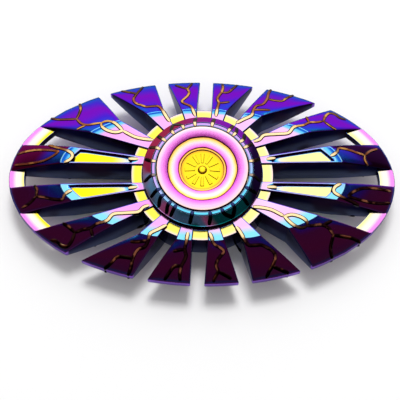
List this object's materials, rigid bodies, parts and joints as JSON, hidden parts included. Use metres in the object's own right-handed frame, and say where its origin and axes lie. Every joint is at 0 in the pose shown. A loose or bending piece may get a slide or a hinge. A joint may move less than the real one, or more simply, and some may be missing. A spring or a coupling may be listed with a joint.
{
  "type": "fidget spinner",
  "caption": "Long oval two-ended fidget spinner: a slotted winged metal casting that turns on a ball bearing between two dished finger buttons.",
  "frame": {"origin": "middle of the bearing, on the spin axis, halfway through the thickness", "axes": "+Z along the spin axis, out of the top button; +X along the long axis of the oval"},
  "size_m": [0.08, 0.0456, 0.0134],
  "materials": {
    "rainbow_casting": "polished",
    "rainbow_button": "satin",
    "bearing_steel": "satin",
    "ball_steel": "polished",
    "cage_nylon": "satin",
    "shield_steel": "satin",
    "spring_steel": "satin"
  },
  "bodies": {
    "hub": {"top_button": "rainbow_button", "bottom_button": "rainbow_button", "bearing_inner_ring": "bearing_steel"},
    "rotor": {"frame": "rainbow_casting", "bearing_outer_ring": "bearing_steel", "shield_top": "shield_steel", "shield_bottom": "shield_steel", "snap_ring_top": "spring_steel", "snap_ring_bottom": "spring_steel"},
    "cage": {"bearing_cage": "cage_nylon"},
    "ball_1": {"ball_1": "ball_steel"},
    "ball_2": {"ball_2": "ball_steel"},
    "ball_3": {"ball_3": "ball_steel"},
    "ball_4": {"ball_4": "ball_steel"},
    "ball_5": {"ball_5": "ball_steel"},
    "ball_6": {"ball_6": "ball_steel"},
    "ball_7": {"ball_7": "ball_steel"},
    "ball_8": {"ball_8": "ball_steel"},
    "ball_9": {"ball_9": "ball_steel"},
    "ball_10": {"ball_10": "ball_steel"}
  },
  "joints": [
    {"name": "spin", "type": "hinge", "parent": "hub", "child": "rotor", "pos_m": [0, 0, 0], "axis": [0, 0, 1], "continuous": true},
    {"name": "cage_orbit", "type": "hinge", "parent": "hub", "child": "cage", "pos_m": [0, 0, 0], "axis": [0, 0, 1], "continuous": true},
    {"name": "ball_1_roll", "type": "hinge", "parent": "cage", "child": "ball_1", "pos_m": [0.00476, 0, 0], "axis": [0, 0, 1], "continuous": true},
    {"name": "ball_2_roll", "type": "hinge", "parent": "cage", "child": "ball_2", "pos_m": [0.00385, 0.0028, 0], "axis": [0, 0, 1], "continuous": true},
    {"name": "ball_3_roll", "type": "hinge", "parent": "cage", "child": "ball_3", "pos_m": [0.00147, 0.00453, 0], "axis": [0, 0, 1], "continuous": true},
    {"name": "ball_4_roll", "type": "hinge", "parent": "cage", "child": "ball_4", "pos_m": [-0.00147, 0.00453, 0], "axis": [0, 0, 1], "continuous": true},
    {"name": "ball_5_roll", "type": "hinge", "parent": "cage", "child": "ball_5", "pos_m": [-0.00385, 0.0028, 0], "axis": [0, 0, 1], "continuous": true},
    {"name": "ball_6_roll", "type": "hinge", "parent": "cage", "child": "ball_6", "pos_m": [-0.00476, 0, 0], "axis": [0, 0, 1], "continuous": true},
    {"name": "ball_7_roll", "type": "hinge", "parent": "cage", "child": "ball_7", "pos_m": [-0.00385, -0.0028, 0], "axis": [0, 0, 1], "continuous": true},
    {"name": "ball_8_roll", "type": "hinge", "parent": "cage", "child": "ball_8", "pos_m": [-0.00147, -0.00453, 0], "axis": [0, 0, 1], "continuous": true},
    {"name": "ball_9_roll", "type": "hinge", "parent": "cage", "child": "ball_9", "pos_m": [0.00147, -0.00453, 0], "axis": [0, 0, 1], "continuous": true},
    {"name": "ball_10_roll", "type": "hinge", "parent": "cage", "child": "ball_10", "pos_m": [0.00385, -0.0028, 0], "axis": [0, 0, 1], "continuous": true}
  ],
  "couplings": [
    {"joint": "cage_orbit", "follows": "spin", "ratio": 0.58336},
    {"joint": "ball_1_roll", "follows": "spin", "ratio": 2.9157},
    {"joint": "ball_2_roll", "follows": "spin", "ratio": 2.9157},
    {"joint": "ball_3_roll", "follows": "spin", "ratio": 2.9157},
    {"joint": "ball_4_roll", "follows": "spin", "ratio": 2.9157},
    {"joint": "ball_5_roll", "follows": "spin", "ratio": 2.9157},
    {"joint": "ball_6_roll", "follows": "spin", "ratio": 2.9157},
    {"joint": "ball_7_roll", "follows": "spin", "ratio": 2.9157},
    {"joint": "ball_8_roll", "follows": "spin", "ratio": 2.9157},
    {"joint": "ball_9_roll", "follows": "spin", "ratio": 2.9157},
    {"joint": "ball_10_roll", "follows": "spin", "ratio": 2.9157}
  ]
}
